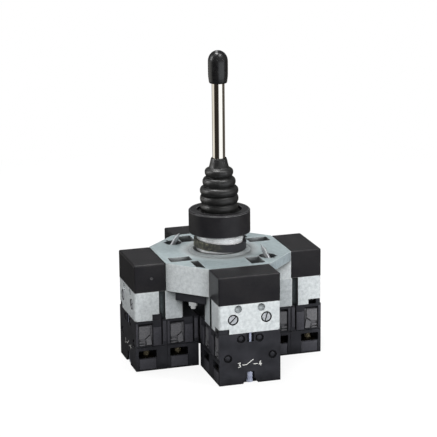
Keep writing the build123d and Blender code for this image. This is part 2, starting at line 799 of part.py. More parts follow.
# Gimbal: ring on two pins in the neck, cross pin through the stick's hub
with BuildPart() as gimbal_outer_pins:
    for deg in (0, 180):
        with BuildSketch(outer_face(deg, neck_pin_start)):
            with Locations((0, pivot_z)):
                Circle(gimbal_pin_r)
        extrude(amount=neck_pin_end - neck_pin_start)
gimbal_outer_pins.part.label = "gimbal_outer_pins"
export_step(gimbal_outer_pins.part, "parts/gimbal_outer_pins.step")

with BuildPart() as gimbal_ring:
    with BuildSketch(Plane.XY.offset(pivot_z - ring_h / 2)):
        Circle(ring_r)
        Circle(ring_bore_r, mode=Mode.SUBTRACT)
    extrude(amount=ring_h)
    with BuildSketch(Plane.YZ):
        with Locations((0, pivot_z)):
            Circle(gimbal_pin_r + pin_clear)
    extrude(amount=ring_r, both=True, mode=Mode.SUBTRACT)
    with BuildSketch(Plane.XZ):
        with Locations((0, pivot_z)):
            Circle(gimbal_pin_r)
    extrude(amount=ring_r, both=True, mode=Mode.SUBTRACT)
gimbal_ring.part.label = "gimbal_ring"
export_step(gimbal_ring.part, "parts/gimbal_ring.step")

with BuildPart() as gimbal_pin:
    with BuildSketch(Plane.XZ):
        with Locations((0, pivot_z)):
            Circle(gimbal_pin_r)
    extrude(amount=ring_r - 0.2, both=True)
gimbal_pin.part.label = "gimbal_pin"
export_step(gimbal_pin.part, "parts/gimbal_pin.step")

# Stick: hub with a socket for the rod and a stud for the ball, which is flat above and below
hub_low = pivot_z - hub_h / 2
hub_high = pivot_z + hub_h / 2
stud_end = ball_z - ball_half - 0.6
with BuildPart() as lever_hub:
    with BuildSketch(Plane.XZ):
        with BuildLine():
            Polyline((0, stud_end), (stud_r, stud_end), (stud_r, hub_low), (hub_r, hub_low), (hub_r, hub_high),
                     (socket_r, hub_high), (socket_r, socket_top), (rod_r, socket_top), (rod_r, rod_foot),
                     (0, rod_foot), close=True)
        make_face()
    revolve(axis=Axis.Z)
    with BuildSketch(Plane.XZ):
        with Locations((0, pivot_z)):
            Circle(gimbal_pin_r + pin_clear)
    extrude(amount=hub_r, both=True, mode=Mode.SUBTRACT)
lever_hub.part.label = "lever_hub"
export_step(lever_hub.part, "parts/lever_hub.step")

with BuildPart() as tail_ball:
    with BuildSketch(Plane.XY.offset(ball_z - ball_half)):
        Circle(ball_r)
    extrude(amount=2 * ball_half)
    with Locations((0, 0, ball_z)):
        Sphere(ball_r, mode=Mode.INTERSECT)
    with BuildSketch(Plane.XY.offset(ball_z - ball_half)):
        Circle(stud_r)
    extrude(amount=2 * ball_half, mode=Mode.SUBTRACT)
tail_ball.part.label = "tail_ball"
export_step(tail_ball.part, "parts/tail_ball.step")

with BuildPart() as lever_rod:
    with BuildSketch(Plane.XY.offset(rod_foot)):
        Circle(rod_r)
    extrude(amount=rod_top - rod_foot)
lever_rod.part.label = "lever_rod"
export_step(lever_rod.part, "parts/lever_rod.step")

# Knob: straight grip with a rounded foot and a dome of two tangent arcs
nose_r = (knob_side_r ** 2 - (knob_side_r - knob_r) ** 2 - knob_dome ** 2) / (2 * (knob_side_r - knob_dome))
low_c = Vector(knob_r - knob_side_r, knob_top - knob_dome)
high_c = Vector(0, knob_top - nose_r)
bend = math.degrees(math.atan2(high_c.Y - low_c.Y, high_c.X - low_c.X))


def on_circle(centre, r, angle):
    a = math.radians(angle)
    return centre + Vector(r * math.cos(a), r * math.sin(a))


with BuildPart() as knob:
    with BuildSketch(Plane.XZ):
        with BuildLine():
            foot = Line((rod_r, knob_z), (knob_foot_r - knob_toe, knob_z))
            toe = Line(foot @ 1, (knob_foot_r, knob_z + knob_toe))
            side = Line(toe @ 1, (knob_r, knob_top - knob_dome))
            shoulder = ThreePointArc(side @ 1, on_circle(low_c, knob_side_r, bend / 2), on_circle(low_c, knob_side_r, bend))
            dome = ThreePointArc(shoulder @ 1, on_circle(high_c, nose_r, (bend + 90) / 2), (0, knob_top))
            axis = Line((0, knob_top), (0, rod_top))
            seat = Line(axis @ 1, (rod_r, rod_top))
            Line(seat @ 1, foot @ 0)
        make_face()
    revolve(axis=Axis.Z)
knob.part.label = "knob"
export_step(knob.part, "parts/knob.step")

# Rubber boot: a sleeve on a flange under the ring nut's lip, gripping the rod at its top
with BuildPart() as boot:
    with BuildSketch(Plane.XZ):
        with BuildLine():
            Polyline((boot_inside[0][0], neck_top), (boot_flange_r, neck_top), (boot_flange_r, neck_top + boot_flange_t),
                     (boot_outside[0][0], neck_top + boot_flange_t), *boot_outside,
                     (rod_r + boot_gap, boot_outside[-1][1]), (rod_r + boot_gap, boot_outside[-2][1]),
                     *reversed(boot_inside), close=True)
        make_face()
    revolve(axis=Axis.Z)
boot.part.label = "boot"
export_step(boot.part, "parts/boot.step")
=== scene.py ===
import bpy
import bmesh
import math
from mathutils import Matrix, Vector


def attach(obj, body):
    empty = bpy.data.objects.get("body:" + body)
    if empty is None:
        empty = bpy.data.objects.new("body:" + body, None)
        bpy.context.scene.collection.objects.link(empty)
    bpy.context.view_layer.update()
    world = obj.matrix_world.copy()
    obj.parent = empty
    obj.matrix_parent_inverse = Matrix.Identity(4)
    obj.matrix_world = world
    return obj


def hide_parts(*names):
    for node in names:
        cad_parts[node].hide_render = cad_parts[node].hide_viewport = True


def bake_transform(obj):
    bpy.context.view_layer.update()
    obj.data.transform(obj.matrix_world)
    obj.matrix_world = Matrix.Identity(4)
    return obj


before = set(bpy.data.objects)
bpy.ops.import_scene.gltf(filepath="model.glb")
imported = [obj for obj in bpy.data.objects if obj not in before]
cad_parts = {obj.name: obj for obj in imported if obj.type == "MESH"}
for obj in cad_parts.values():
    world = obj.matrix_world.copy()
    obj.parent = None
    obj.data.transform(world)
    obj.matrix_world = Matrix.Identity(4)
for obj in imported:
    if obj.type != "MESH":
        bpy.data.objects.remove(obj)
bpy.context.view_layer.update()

mm = 0.001
raySamples = 6  # for soft edges and shaded corners
scene = bpy.context.scene
scene.view_settings.view_transform = "Standard"
armAngles = {"front": -90, "right": 0, "back": 90, "left": 180}
print("frame loaded")


# camera: eye in millimetres, aim and roll fitted to the photograph
view = {"eye": (-243.643, -796.776, 291.938), "aim": (0.2817618, 0.9231401, -0.2615773),
        "roll": 0.5782, "lens": 151.452, "sensor": 36, "clipStart": 0.05}
aim = Vector(view["aim"]).normalized()
level = aim.cross(Vector((0, 0, 1))).normalized()
upright = level.cross(aim)
roll = math.radians(view["roll"])
right = level * math.cos(roll) - upright * math.sin(roll)
up = level * math.sin(roll) + upright * math.cos(roll)
eye = Vector(view["eye"]) * mm
camData = bpy.data.cameras.new("camera")
camData.lens = view["lens"]
camData.sensor_width = view["sensor"]
camData.clip_start = view["clipStart"]
camera = bpy.data.objects.new("camera", camData)
scene.collection.objects.link(camera)
camera.matrix_world = Matrix((
    (right.x, up.x, -aim.x, eye.x),
    (right.y, up.y, -aim.y, eye.y),
    (right.z, up.z, -aim.z, eye.z),
    (0, 0, 0, 1)))
scene.camera = camera


# material helpers: most add nodes to a tree and return what these put out
def feed(tree, socket, value):
    # an output of another node, a colour or a plain value
    if hasattr(value, "links"):
        tree.links.new(value, socket)
    elif value is not None:
        socket.default_value = (*value, 1) if socket.type == "RGBA" else value


def addMath(tree, operation, first, second=None, third=None, clamp=False):
    step = tree.nodes.new("ShaderNodeMath")
    step.operation = operation
    step.use_clamp = clamp
    for socket, value in zip(step.inputs, (first, second, third)):
        feed(tree, socket, value)
    return step.outputs["Value"]


def addVector(tree, operation, first, second=None, output="Vector", scale=None):
    step = tree.nodes.new("ShaderNodeVectorMath")
    step.operation = operation
    for socket, value in zip(step.inputs, (first, second)):
        feed(tree, socket, value)
    if scale is not None:
        feed(tree, step.inputs["Scale"], scale)
    return step.outputs[output]


def addMix(tree, factor, first, second, blend="MIX"):
    mix = tree.nodes.new("ShaderNodeMix")
    mix.data_type = "RGBA"
    mix.blend_type = blend
    for name, value in (("Factor", factor), ("A", first), ("B", second)):
        feed(tree, mix.inputs[name], value)
    return mix.outputs["Result"]


def addRange(tree, source, low, high, fromLow=0.3, fromHigh=0.7):
    # low to high, while the source goes from one of its limits to the other
    spread = tree.nodes.new("ShaderNodeMapRange")
    spread.inputs["From Min"].default_value = fromLow
    spread.inputs["From Max"].default_value = fromHigh
    spread.inputs["To Min"].default_value = low
    spread.inputs["To Max"].default_value = high
    tree.links.new(source, spread.inputs["Value"])
    return spread.outputs["Result"]


def addRamp(tree, source, stops):
    ramp = tree.nodes.new("ShaderNodeValToRGB")
    band = ramp.color_ramp
    while len(band.elements) < len(stops):
        band.elements.new(0.5)
    for element, (place, colour) in zip(band.elements, stops):
        element.position = place
        element.color = (*colour, 1)
    tree.links.new(source, ramp.inputs["Fac"])
    return ramp.outputs["Color"]


def addPlace(tree):
    return tree.nodes.new("ShaderNodeTexCoord").outputs["Object"]


def addSplit(tree, vector):
    split = tree.nodes.new("ShaderNodeSeparateXYZ")
    tree.links.new(vector, split.inputs["Vector"])
    return split.outputs["X"], split.outputs["Y"], split.outputs["Z"]


def addNoise(tree, scale, detail=3.0, rough=0.55, stretch=None):
    place = addPlace(tree)
    if stretch:
        mapping = tree.nodes.new("ShaderNodeMapping")
        mapping.inputs["Scale"].default_value = stretch
        tree.links.new(place, mapping.inputs["Vector"])
        place = mapping.outputs["Vector"]
    noise = tree.nodes.new("ShaderNodeTexNoise")
    noise.inputs["Scale"].default_value = scale
    noise.inputs["Detail"].default_value = detail
    noise.inputs["Roughness"].default_value = rough
    tree.links.new(place, noise.inputs["Vector"])
    return noise.outputs["Fac"]


def addArmPlace(tree, x, y):
    # how far along the nearest arm and how far across it, both without sign
    x = addMath(tree, "ABSOLUTE", x)
    y = addMath(tree, "ABSOLUTE", y)
    return addMath(tree, "MAXIMUM", x, y), addMath(tree, "MINIMUM", x, y)


def addReach(tree, first, second, spot=(0, 0)):
    # distance of two coordinates from a spot given in millimetres
    squares = []
    for value, middle in zip((first, second), spot):
        offset = addMath(tree, "SUBTRACT", value, middle * mm)
        squares.append(addMath(tree, "MULTIPLY", offset, offset))
    return addMath(tree, "SQRT", addMath(tree, "ADD", *squares))


def addInside(tree, values, zone):
    # 1 where each value lies between its two limits, in millimetres
    inside = 1.0
    for value, (low, high) in zip(values, zone):
        above = addMath(tree, "GREATER_THAN", value, low * mm)
        below = addMath(tree, "LESS_THAN", value, high * mm)
        inside = addMath(tree, "MULTIPLY", addMath(tree, "MULTIPLY", above, below), inside)
    return inside


def addAround(tree, place, stops):
    # tones by direction round the upright axis, in degrees from +x
    x, y, _ = addSplit(tree, place)
    share = addRange(tree, addMath(tree, "ARCTAN2", y, x), 0, 1, -math.pi, math.pi)
    return addRamp(tree, share, [((degrees + 180) / 360, tone) for degrees, tone in stops])


def addBevel(tree, radius):
    bevel = tree.nodes.new("ShaderNodeBevel")
    bevel.samples = raySamples
    bevel.inputs["Radius"].default_value = radius * mm
    return bevel.outputs["Normal"]


def addEdgeMask(tree, look):
    # how far the softened normal leaves the true one: 0 on faces, 1 along edges
    true = tree.nodes.new("ShaderNodeNewGeometry").outputs["True Normal"]
    same = addVector(tree, "DOT_PRODUCT", addBevel(tree, look["edge"]), true, "Value")
    return addRange(tree, addMath(tree, "SUBTRACT", 1.0, same), 0, 1, *look["edgeTurn"])


def addOpen(tree, look, low, high):
    # low where nearby surfaces close a place in, high in the open
    nearby = tree.nodes.new("ShaderNodeAmbientOcclusion")
    nearby.samples = raySamples
    nearby.inputs["Distance"].default_value = look["reach"] * mm
    return addRange(tree, nearby.outputs["AO"], low, high, *look["closed"])


def addCornerShade(tree, tone, look):
    # painted shade: the tone, down to its shade's share in closed places
    return addMix(tree, 1.0, tone, addOpen(tree, look, look["shade"], 1), "MULTIPLY")


def addBump(tree, source, strength, distance, edge=None):
    # fine relief, on edges that are softened by a small radius where one is given
    bump = tree.nodes.new("ShaderNodeBump")
    bump.inputs["Strength"].default_value = strength
    bump.inputs["Distance"].default_value = distance
    tree.links.new(source, bump.inputs["Height"])
    if edge:
        tree.links.new(addBevel(tree, edge), bump.inputs["Normal"])
    tree.links.new(bump.outputs["Normal"], tree.nodes["Principled BSDF"].inputs["Normal"])


def newFinish(name, look):
    # the grain gives the roughness between two limits, the relief (its strength and its height in
    # millimetres) and, where there is no cloud, the tone
    mat = bpy.data.materials.new(name)
    mat.use_nodes = True
    mat.diffuse_color = (*look["base"], 1)
    tree = mat.node_tree
    shader = tree.nodes["Principled BSDF"]
    shader.inputs["Base Color"].default_value = (*look["base"], 1)
    shader.inputs["Metallic"].default_value = look.get("metal", 0.0)
    shader.inputs["Specular IOR Level"].default_value = look.get("spec", 0.5)
    grain = addNoise(tree, *look["grain"], stretch=look.get("stretch"))
    cloud = addNoise(tree, *look["cloud"]) if "cloud" in look else grain
    stops = [(place, look[key]) for place, key in look["tones"]]
    tree.links.new(addRamp(tree, cloud, stops), shader.inputs["Base Color"])
    rough = look["rough"]
    if isinstance(rough, tuple):
        tree.links.new(addRange(tree, grain, *rough), shader.inputs["Roughness"])
        rough = sum(rough) / 2
    shader.inputs["Roughness"].default_value = rough  # stands in where a link isn't read
    if "relief" in look:
        strength, height = look["relief"]
        addBump(tree, grain, strength, height * mm, look.get("edge"))
    return mat


def partsOf(mat):
    # the finish's tree, its shader and the tone that the shader gets so far
    shader = mat.node_tree.nodes["Principled BSDF"]
    return mat.node_tree, shader, shader.inputs["Base Color"].links[0].from_socket


# zinc casting: pale and finely mottled; painted shade makes its top darker and bluer and darkens its grooves,
# inner walls, lip band, dimples, wells and screw sinks; painted highlight brightens the top near the boss and
# along the edges
# a zone has two limits in millimetres for each of its coordinates: along the arm, across it, height or reach
castLook = {
    "base": (0.40, 0.435, 0.45), "pale": (0.67, 0.705, 0.715), "tones": ((0.32, "base"), (0.64, "pale")),
    "grain": (620, 7.0, 0.72), "rough": (0.42, 0.58), "metal": 0.3, "patch": (75, 2.0), "patchShare": 0.35,
    "top": (0.54, 0.605, 0.615), "upward": (0.75, 0.95),
    "flare": (15.5, 20.0), "flareShare": 0.35, "bossHighlightTone": (0.96, 0.98, 0.98),
    "groove": ((30.6, 34.02), (12.0, 14.56), (24.0, 38.1)), "grooveShade": (0.28, 0.32, 0.33),
    "innerWall": ((0, 30.6), (20, 37.9)), "inner": (0.88, 0.89, 0.90),
    "lip": ((15.0, 60), (46.65, 51.15)), "band": (0.58, 0.64, 0.67),
    "edge": 0.35, "edgeTurn": (0.02, 0.25), "edgeHighlightShare": 0.6, "edgeHighlightTone": (0.90, 0.92, 0.92),
    "dimple": (5.5, 35.8), "dimpleZone": ((44, 45.46), (0, 1.82)), "dimpleShade": (0.84, 0.86, 0.87),
    "polish": -0.25, "bowl": 1.85, "steep": 300.0, "speck": (2300, 2.0), "speckHeight": 0.014,
    "screw": (7.9, 31.0), "sinkZone": ((40, 45.44), (0, 2.62)), "holeShade": (0.016, 0.016, 0.016),
    "reach": 7.0, "shade": 0.1, "closed": (0.65, 1.0)}


def castFinish():
    mat = newFinish("castZinc", castLook)
    tree, shader, tone = partsOf(mat)
    x, y, z = addSplit(tree, addPlace(tree))
    u, v = addArmPlace(tree, x, y)
    upward = addSplit(tree, tree.nodes.new("ShaderNodeNewGeometry").outputs["Normal"])[2]
    patch = addRange(tree, addNoise(tree, *castLook["patch"]), 0, castLook["patchShare"])
    tone = addMix(tree, patch, tone, castLook["pale"])
    # painted shade: faces turned upward get a darker, bluer tone
    isTop = addRange(tree, upward, 0, 1, *castLook["upward"])
    tone = addMix(tree, isTop, tone, castLook["top"], "MULTIPLY")
    # painted highlight: the top is brighter close to the boss
    near, far = castLook["flare"]
    flare = addRange(tree, addReach(tree, u, v), castLook["flareShare"], 0, near * mm, far * mm)
    tone = addMix(tree, addMath(tree, "MULTIPLY", flare, isTop), tone, castLook["bossHighlightTone"])
    # painted shade: darker in the grooves and on the inner walls
    isGroove = addInside(tree, (u, v, z), castLook["groove"])
    tone = addMix(tree, isGroove, tone, castLook["grooveShade"], "MULTIPLY")
    isInner = addInside(tree, (u, z), castLook["innerWall"])
    tone = addMix(tree, isInner, tone, castLook["inner"], "MULTIPLY")
    # painted shade on the lip band at two of the corners: those where x and y differ in sign
    isCorner = addMath(tree, "LESS_THAN", addMath(tree, "MULTIPLY", x, y), 0.0)
    isLip = addMath(tree, "MULTIPLY", addInside(tree, (v, z), castLook["lip"]), isCorner)
    isLip = addMath(tree, "MULTIPLY", isLip, addRange(tree, upward, 1, 0))
    tone = addMix(tree, isLip, tone, castLook["band"], "MULTIPLY")
    # painted highlight along the edges, then painted shade in the marks in the arms' end faces: dimples and
    # screw sinks
    edgeHighlightShare = addMath(tree, "MULTIPLY", addEdgeMask(tree, castLook), castLook["edgeHighlightShare"])
    tone = addMix(tree, edgeHighlightShare, tone, castLook["edgeHighlightTone"])
    # painted shade: the dimples get a darker tone
    fromDimple = addReach(tree, v, z, castLook["dimple"])
    isDimple = addInside(tree, (u, fromDimple), castLook["dimpleZone"])
    tone = addMix(tree, isDimple, tone, castLook["dimpleShade"], "MULTIPLY")
    # painted shade: the screw sinks are near-black
    isSink = addInside(tree, (u, addReach(tree, v, z, castLook["screw"])), castLook["sinkZone"])
    tone = addMix(tree, isSink, addCornerShade(tree, tone, castLook), castLook["holeShade"])
    tree.links.new(tone, shader.inputs["Base Color"])
    rough = shader.inputs["Roughness"].links[0].from_socket
    rough = addMath(tree, "MULTIPLY_ADD", isDimple, castLook["polish"], rough)
    tree.links.new(rough, shader.inputs["Roughness"])
    # the dimples are bowls, whose relief in metres is added to the fine specks
    bowl = addMath(tree, "MULTIPLY", fromDimple, fromDimple)
    bowl = addMath(tree, "MINIMUM", addMath(tree, "SUBTRACT", bowl, (castLook["bowl"] * mm) ** 2), 0.0)
    specks = addMath(tree, "MULTIPLY", addNoise(tree, *castLook["speck"]), castLook["speckHeight"] * mm)
    addBump(tree, addMath(tree, "MULTIPLY_ADD", bowl, castLook["steep"], specks), 1.0, 1.0, castLook["edge"])
    return mat


castZinc = castFinish()

# satin black mouldings, with a painted highlight along their edges: caps, ring nut and the ball inside
capLook = {"base": (0.0095, 0.0092, 0.0108), "light": (0.015, 0.0143, 0.0155),
           "tones": ((0.35, "base"), (0.7, "light")), "grain": (3400, 2.0), "cloud": (110, 3.0),
           "rough": (0.27, 0.36), "spec": 0.32, "relief": (0.2, 0.02), "edge": 0.65,
           "edgeTurn": (0.03, 0.13), "rim": (0.20, 0.201, 0.205)}
capPlastic = newFinish("capPlastic", capLook)
tree, shader, tone = partsOf(capPlastic)
# painted highlight: a paler rim tone along the edges
tree.links.new(addMix(tree, addEdgeMask(tree, capLook), tone, capLook["rim"]), shader.inputs["Base Color"])

# the knob's plastic is darker and glossier, with a little wear
knobLook = {"base": (0.0055, 0.0055, 0.006), "worn": (0.011, 0.011, 0.011),
            "tones": ((0.40, "base"), (0.72, "worn")), "grain": (420, 4.0, 0.65),
            "rough": (0.22, 0.32), "spec": 0.6, "relief": (0.1, 0.02)}
knobPlastic = newFinish("knobPlastic", knobLook)

# bluish-black contact blocks, with painted shade in closed places
blockLook = {"base": (0.0145, 0.0148, 0.0175), "light": (0.025, 0.0255, 0.030),
             "tones": ((0.35, "base"), (0.7, "light")), "grain": (2800, 2.0), "cloud": (140, 3.0),
             "rough": (0.36, 0.50), "spec": 0.4, "relief": (0.25, 0.02), "edge": 0.2,
             "reach": 6.0, "shade": 0.12, "closed": (0.2, 0.95)}
# on the label faces: a plain contact sign between two terminal numbers, as lines of (across, height) points
# the ink is full up to the first distance from a line and ends at the second
sign = {"contact": (((-3.5, 9.1), (-1.7, 9.1), (1.5, 11.3)), ((1.7, 9.1), (3.4, 9.1))),
        "three": (((-5.6, 10.2), (-4.6, 10.2), (-5.1, 9.3), (-4.6, 8.9), (-4.7, 8.3), (-5.6, 8.2)),),
        "four": (((5.0, 10.2), (4.3, 8.8), (5.5, 8.8)), ((5.1, 9.5), (5.1, 8.1))),
        "ink": (0.62, 0.62, 0.60), "width": (0.136, 0.221), "face": 45.2,
        "wear": (1500, 2.0), "worn": (0.55, 1.0)}


def addSign(tree, tone):
    # the tone with the sign inked on it, on faces that stand as far out as the label
    place = addPlace(tree)
    normal = tree.nodes.new("ShaderNodeNewGeometry").outputs["Normal"]
    across = addVector(tree, "CROSS_PRODUCT", (0, 0, 1), normal)
    flat = tree.nodes.new("ShaderNodeCombineXYZ")
    tree.links.new(addVector(tree, "DOT_PRODUCT", place, across, "Value"), flat.inputs["X"])
    tree.links.new(addSplit(tree, place)[2], flat.inputs["Y"])
    nearest = 1.0  # metres, farther than any line
    for line in (*sign["contact"], *sign["three"], *sign["four"]):
        for begin, end in zip(line, line[1:]):
            start = Vector((*begin, 0)) * mm
            run = Vector((*end, 0)) * mm - start
            offset = addVector(tree, "SUBTRACT", flat.outputs["Vector"], start)
            along = addVector(tree, "DOT_PRODUCT", offset, run / run.length_squared, "Value")
            along = addMath(tree, "MULTIPLY", along, 1.0, clamp=True)
            onLine = addVector(tree, "SCALE", run, scale=along)
            nearest = addMath(tree, "MINIMUM", addVector(tree, "DISTANCE", offset, onLine, "Value"), nearest)
    full, none = sign["width"]
    ink = addRange(tree, nearest, 1, 0, full * mm, none * mm)
    out = addVector(tree, "DOT_PRODUCT", place, normal, "Value")
    ink = addMath(tree, "MULTIPLY", ink, addMath(tree, "GREATER_THAN", out, sign["face"] * mm))
    worn = addRange(tree, addNoise(tree, *sign["wear"]), *sign["worn"])
    return addMix(tree, addMath(tree, "MULTIPLY", ink, worn), tone, sign["ink"])


def blockFinish(name, marked):
    mat = newFinish(name, blockLook)
    tree, shader, tone = partsOf(mat)
    if marked:
        tone = addSign(tree, tone)
    tree.links.new(addCornerShade(tree, tone, blockLook), shader.inputs["Base Color"])
    return mat


blockPlastic = blockFinish("blockPlastic", False)
labelPlastic = blockFinish("labelPlastic", True)

# grained terminal covers, with painted shade in their gaps
coverLook = {"base": (0.062, 0.062, 0.068), "light": (0.135, 0.135, 0.142),
             "tones": ((0.32, "base"), (0.68, "light")), "grain": (1900, 3.0, 0.7), "rough": 0.62,
             "relief": (0.8, 0.08), "edge": 0.15, "reach": 1.4, "shade": 0.12, "closed": (0.3, 0.8)}
coverPlastic = newFinish("coverPlastic", coverLook)
tree, shader, tone = partsOf(coverPlastic)
tree.links.new(addCornerShade(tree, tone, coverLook), shader.inputs["Base Color"])

# the moulded relief that is added on the covers and blocks
reliefLook = {"base": (0.026, 0.026, 0.031), "light": (0.050, 0.050, 0.058),
              "tones": ((0.32, "base"), (0.68, "light")), "grain": (2400, 3.0, 0.6), "rough": 0.48,
              "relief": (0.4, 0.04), "edge": 0.15}
reliefPlastic = newFinish("reliefPlastic", reliefLook)

# pale blue-grey keys and plungers
keyLook = {"base": (0.17, 0.185, 0.25), "light": (0.27, 0.29, 0.36),
           "tones": ((0.35, "base"), (0.7, "light")), "grain": (600, 2.0), "rough": 0.4}
keyPlastic = newFinish("keyPlastic", keyLook)

# polished rod, its haze drawn out along it
rodLook = {"base": (0.90, 0.86, 0.80), "dark": (0.76, 0.71, 0.64), "tones": ((0.3, "dark"), (0.7, "base")),
           "grain": (500, 3.0), "stretch": (1, 1, 0.12), "rough": (0.05, 0.11), "metal": 1.0}
rodChrome = newFinish("rodChrome", rodLook)

# turned steel neck: fine rings round its axis
neckLook = {"base": (0.92, 0.92, 0.92), "dark": (0.72, 0.74, 0.75), "tones": ((0.3, "dark"), (0.7, "base")),
            "grain": (900, 3.0), "stretch": (0.15, 0.15, 3.0), "rough": (0.20, 0.30), "metal": 0.6,
            "relief": (0.1, 0.02)}
neckSteel = newFinish("neckSteel", neckLook)

# plain steel: clamping screws and pins
steelLook = {"base": (0.66, 0.68, 0.70), "dark": (0.36, 0.38, 0.40), "tones": ((0.3, "dark"), (0.65, "base")),
             "grain": (1500, 3.0), "rough": (0.25, 0.45), "metal": 0.85}
screwSteel = newFinish("screwSteel", steelLook)

# screws in the arms: pale heads, with painted shade in the slot and round the rim
headLook = {"base": (0.50, 0.52, 0.55), "dark": (0.34, 0.36, 0.385), "tones": ((0.32, "dark"), (0.6, "base")),
            "grain": (1100, 3.0), "rough": 0.42, "metal": 0.4, "holeShade": (0.012, 0.012, 0.012),
            "face": 45.24, "rim": 1.92}
slotSteel = newFinish("slotSteel", headLook)
tree, shader, tone = partsOf(slotSteel)
x, y, z = addSplit(tree, addPlace(tree))
u, v = addArmPlace(tree, x, y)
isSunk = addMath(tree, "LESS_THAN", u, headLook["face"] * mm)
isRim = addMath(tree, "GREATER_THAN", addReach(tree, v, z, castLook["screw"]), headLook["rim"] * mm)
isPaintedShade = addMath(tree, "MAXIMUM", isSunk, isRim)
tree.links.new(addMix(tree, isPaintedShade, tone, headLook["holeShade"]), shader.inputs["Base Color"])

# brass shank above a clamping plate kept near-black as painted shade
brassLook = {"base": (0.50, 0.44, 0.30), "dark": (0.16, 0.13, 0.08), "tones": ((0.3, "dark"), (0.65, "base")),
             "grain": (1300, 3.0), "rough": (0.20, 0.34), "metal": 0.9,
             "plate": (0.012, 0.010, 0.007), "plateTop": 7.2}
screwBrass = newFinish("screwBrass", brassLook)
tree, shader, tone = partsOf(screwBrass)
# painted shade: the plate below the shank is near-black
isShank = addMath(tree, "GREATER_THAN", addSplit(tree, addPlace(tree))[2], brassLook["plateTop"] * mm)
tree.links.new(addMix(tree, isShank, brassLook["plate"], tone), shader.inputs["Base Color"])

# boot: its gloss is cut between the folds as painted shade, so the valleys read dark
rubberLook = {"base": (0.005, 0.005, 0.005), "dust": (0.017, 0.017, 0.0165),
              "tones": ((0.42, "base"), (0.75, "dust")), "grain": (800, 4.0, 0.65), "rough": (0.34, 0.48),
              "spec": 0.6, "relief": (0.3, 0.05), "reach": 3.0, "closed": (0.45, 0.9), "valleyShade": (0.05, 1.0)}
bootRubber = newFinish("bootRubber", rubberLook)
tree, shader, _ = partsOf(bootRubber)
tree.links.new(addOpen(tree, rubberLook, *rubberLook["valleyShade"]), shader.inputs["Specular IOR Level"])

# gasket: worn and stained at its raised left side
gasketLook = {"base": (0.019, 0.019, 0.021), "stain": (0.05, 0.05, 0.037), "worn": (0.17, 0.165, 0.12),
              "tones": ((0.40, "base"), (0.53, "stain"), (0.68, "worn")), "grain": (700, 5.0, 0.72),
              "rough": 0.6, "spec": 0.35, "relief": (0.6, 0.15), "left": (-9.5, -1.0)}
gasketRubber = newFinish("gasketRubber", gasketLook)
tree, shader, tone = partsOf(gasketRubber)
full, none = gasketLook["left"]
isLeft = addRange(tree, addSplit(tree, addPlace(tree))[0], 1, 0, full * mm, none * mm)
tree.links.new(addMix(tree, isLeft, gasketLook["base"], tone), shader.inputs["Base Color"])

nodeFinish = {
    "base_casting": castZinc, "arm_bodies": castZinc, "caps": capPlastic, "ring_nut": capPlastic,
    "mounting_neck": neckSteel, "neck_gasket": gasketRubber, "clamp_screws": screwSteel,
    "arm_screws": slotSteel, "outer_blocks": labelPlastic, "inner_blocks": blockPlastic,
    "block_covers": coverPlastic, "face_keys": keyPlastic, "terminal_screws": screwBrass,
    "fixed_contacts": screwBrass, "carrier_plate": blockPlastic, "shield_screws": neckSteel,
    "rocker_pins": screwSteel, "gimbal_outer_pins": screwSteel, "gimbal_pin": screwSteel,
    "gimbal_ring": neckSteel, "lever_hub": neckSteel, "lever_rod": rodChrome, "knob": knobPlastic,
    "tail_ball": capPlastic, "rocker_x": blockPlastic, "rocker_y": blockPlastic, "boot": bootRubber}
for name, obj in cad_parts.items():
    finish = nodeFinish.get(name) or (keyPlastic if name.startswith("plunger") else screwBrass)
    obj.data.materials.clear()
    obj.data.materials.append(finish)
print("finishes set on", len(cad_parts), "nodes")


# modelling helpers
def clearSelection():
    if bpy.context.object and bpy.context.object.mode != "OBJECT":
        bpy.ops.object.mode_set(mode="OBJECT")
    bpy.ops.object.select_all(action="DESELECT")


def pick(obj):
    # selects one piece alone and makes it the active one
    clearSelection()
    obj.select_set(True)
    bpy.context.view_layer.objects.active = obj


def outward(degrees):
    return Vector((math.cos(math.radians(degrees)), math.sin(math.radians(degrees)), 0))


def startPiece(name, finish):
    obj = bpy.context.object
    obj.name = name
    obj.data.name = name
    obj.data.materials.clear()
    obj.data.materials.append(finish)
    return obj


def settle(obj):
    # leaves the piece at the origin, with its place in its mesh
    pick(obj)
    bpy.ops.object.transform_apply(location=True, rotation=True, scale=True)
    return obj


def applyAll(obj):
    pick(obj)
    for modifier in list(obj.modifiers):
        bpy.ops.object.modifier_apply(modifier=modifier.name)


def deletePiece(obj):
    clearSelection()
    obj.select_set(True)
    bpy.ops.object.delete()


def growRings(profile, sides):
    # a circle drawn out ring by ring along z, following (radius, z) pairs
    clearSelection()
    first = profile[0]
    bpy.ops.mesh.primitive_circle_add(vertices=sides, radius=first[0] * mm, location=(0, 0, first[1] * mm))
    bpy.ops.object.mode_set(mode="EDIT")
    bpy.ops.mesh.select_all(action="SELECT")
    here = first
    for ring in profile[1:]:
        rise = (0, 0, (ring[1] - here[1]) * mm)
        bpy.ops.mesh.extrude_edges_move(TRANSFORM_OT_translate={"value": rise})
        grow = ring[0] / here[0]
        bpy.ops.transform.resize(value=(grow, grow, 1), center_override=(0, 0, ring[1] * mm))
        here = ring
    bpy.ops.object.mode_set(mode="OBJECT")


def turnOutwards(fillEnds):
    # the active piece's faces outwards, its open ends filled first where asked
    bpy.ops.object.mode_set(mode="EDIT")
    bpy.ops.mesh.select_all(action="SELECT")
    if fillEnds:
        bpy.ops.mesh.fill_holes(sides=0)
        bpy.ops.mesh.select_all(action="SELECT")
    bpy.ops.mesh.normals_make_consistent(inside=False)
    bpy.ops.object.mode_set(mode="OBJECT")


def copyPiece(source, name):
    # a copy with a mesh of its own
    pick(source)
    bpy.ops.object.duplicate()
    obj = bpy.context.object
    obj.name = name
    obj.data.name = name
    return obj


